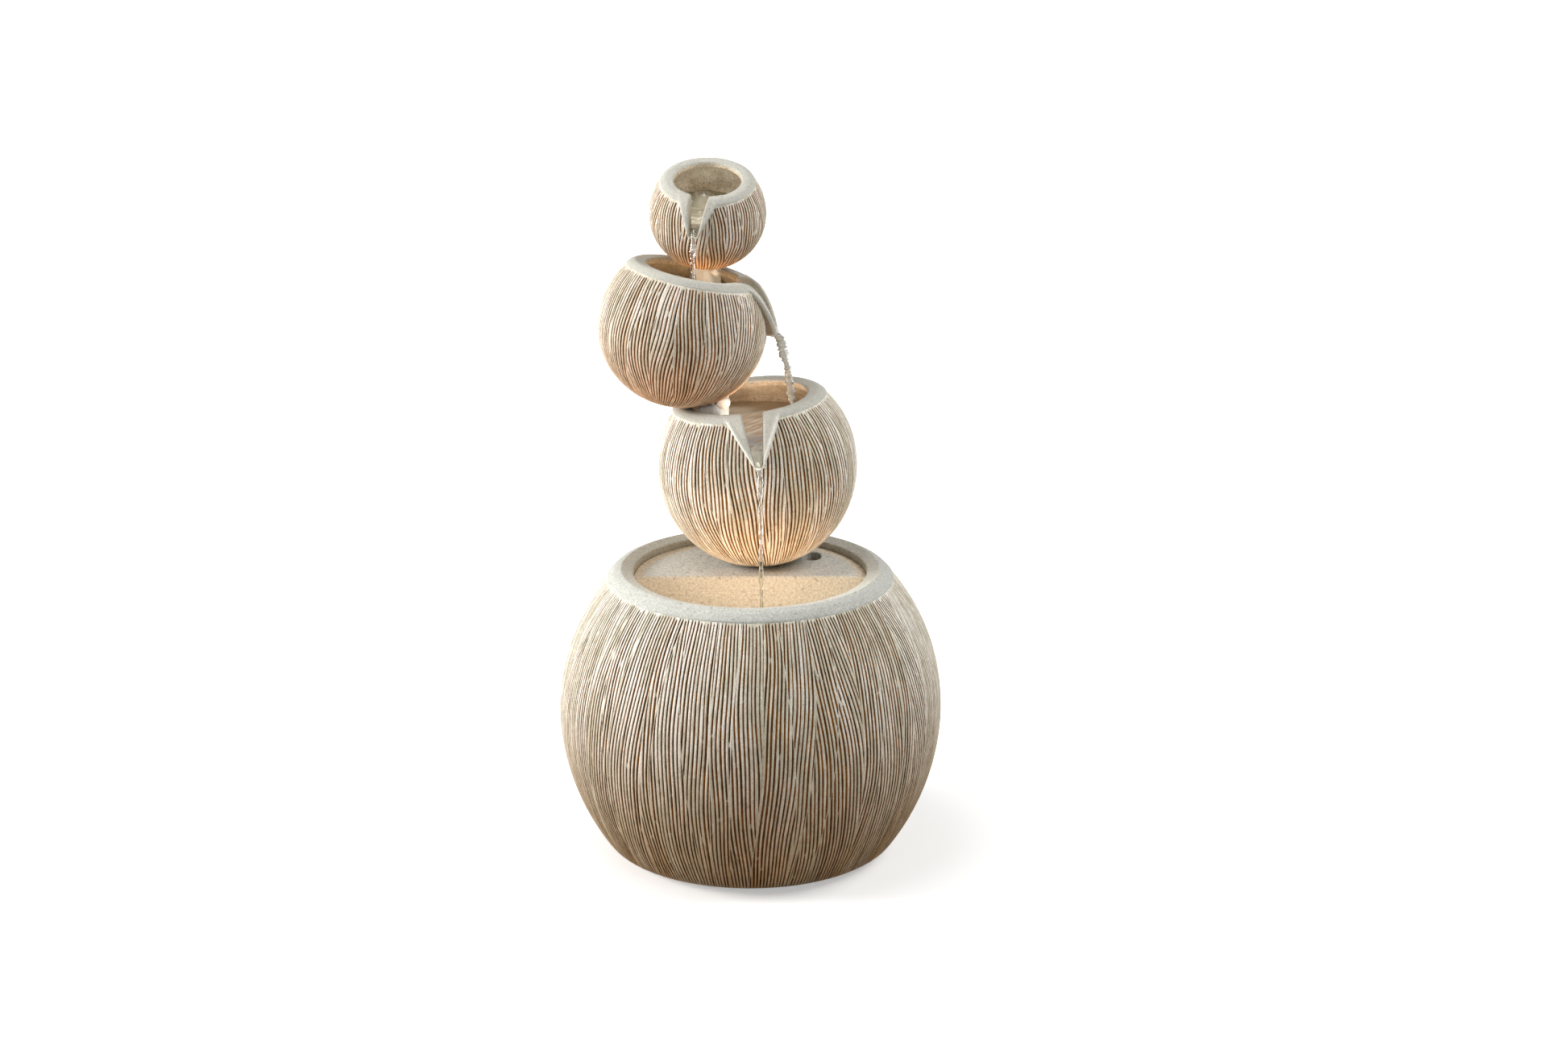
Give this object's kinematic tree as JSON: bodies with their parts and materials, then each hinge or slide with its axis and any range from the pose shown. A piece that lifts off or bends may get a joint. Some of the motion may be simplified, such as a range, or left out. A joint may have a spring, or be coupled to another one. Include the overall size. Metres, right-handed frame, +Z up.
{
  "type": "tabletop water fountain",
  "caption": "Tabletop fountain: a ribbed ball reservoir with a half-moon deck and a leaning stack of ribbed ball bowls that pour from beaked notches, with pump and warm lamps.",
  "frame": {"origin": "centre of the underside of the rubber pads, on the surface that the fountain stands on, under the centre of the reservoir ball", "axes": "+Z up; -Y is the front, where the lower bowl pours into the reservoir; +X is the right seen from the front, where the middle bowl pours"},
  "size_m": [0.2398, 0.2398, 0.4262],
  "materials": {
    "ribbed_stone": "matte",
    "smooth_stone": "matte",
    "black_rubber": "matte",
    "lead_sheath": "satin",
    "clear_vinyl": "gloss",
    "black_plastic": "satin",
    "grey_plastic": "satin",
    "clear_lens": "gloss",
    "warm_led": "satin",
    "water": "polished",
    "white_ceramic": "polished",
    "ferrite_magnet": "satin"
  },
  "bodies": {
    "base": {"base_vessel": "ribbed_stone", "foot_pad_1": "black_rubber", "foot_pad_2": "black_rubber", "foot_pad_3": "black_rubber", "foot_pad_4": "black_rubber", "cord_gland": "black_rubber", "pump_chamber": "black_plastic", "pump_motor": "black_plastic", "impeller_shaft": "white_ceramic", "suction_cup_1": "black_rubber", "suction_cup_2": "black_rubber", "suction_cup_3": "black_rubber", "suction_cup_4": "black_rubber", "pump_lead": "lead_sheath", "lead_supply": "lead_sheath", "lamp_plug": "black_plastic"},
    "tower": {"reservoir_deck": "smooth_stone", "lower_bowl": "ribbed_stone", "middle_bowl": "ribbed_stone", "top_bowl": "ribbed_stone", "middle_support": "smooth_stone", "top_support": "smooth_stone", "riser_tube": "clear_vinyl", "riser_seal_lower": "black_rubber", "riser_seal_middle": "black_rubber", "riser_seal_top": "black_rubber", "lamp_lower_housing": "black_plastic", "lamp_lower_led": "warm_led", "lamp_lower_lens": "clear_lens", "lamp_middle_housing": "black_plastic", "lamp_middle_led": "warm_led", "lamp_middle_lens": "clear_lens", "lamp_base_housing": "black_plastic", "lamp_base_led": "warm_led", "lamp_base_lens": "clear_lens", "lamp_bracket": "grey_plastic", "lead_lower": "lead_sheath", "lead_middle": "lead_sheath", "lead_base": "lead_sheath", "lead_junction": "black_plastic"},
    "rotor": {"impeller": "grey_plastic", "rotor_magnet": "ferrite_magnet"},
    "cover": {"intake_cover": "black_plastic", "shaft_bush": "black_rubber"},
    "dial": {"flow_dial": "grey_plastic"}
  },
  "joints": [
    {"name": "tower_lift", "type": "slide", "parent": "base", "child": "tower", "axis": [0, 0, 1], "range_m": [0, 0.13]},
    {"name": "rotor_spin", "type": "hinge", "parent": "base", "child": "rotor", "pos_m": [0.008, 0.04, 0.0332], "axis": [0, -1, 0], "continuous": true},
    {"name": "cover_pull", "type": "slide", "parent": "base", "child": "cover", "axis": [0, -1, 0], "range_m": [0, 0.03]},
    {"name": "dial_turn", "type": "hinge", "parent": "cover", "child": "dial", "pos_m": [0.008, 0.018, 0.0332], "axis": [0, -1, 0], "range_deg": [0, 90]}
  ]
}
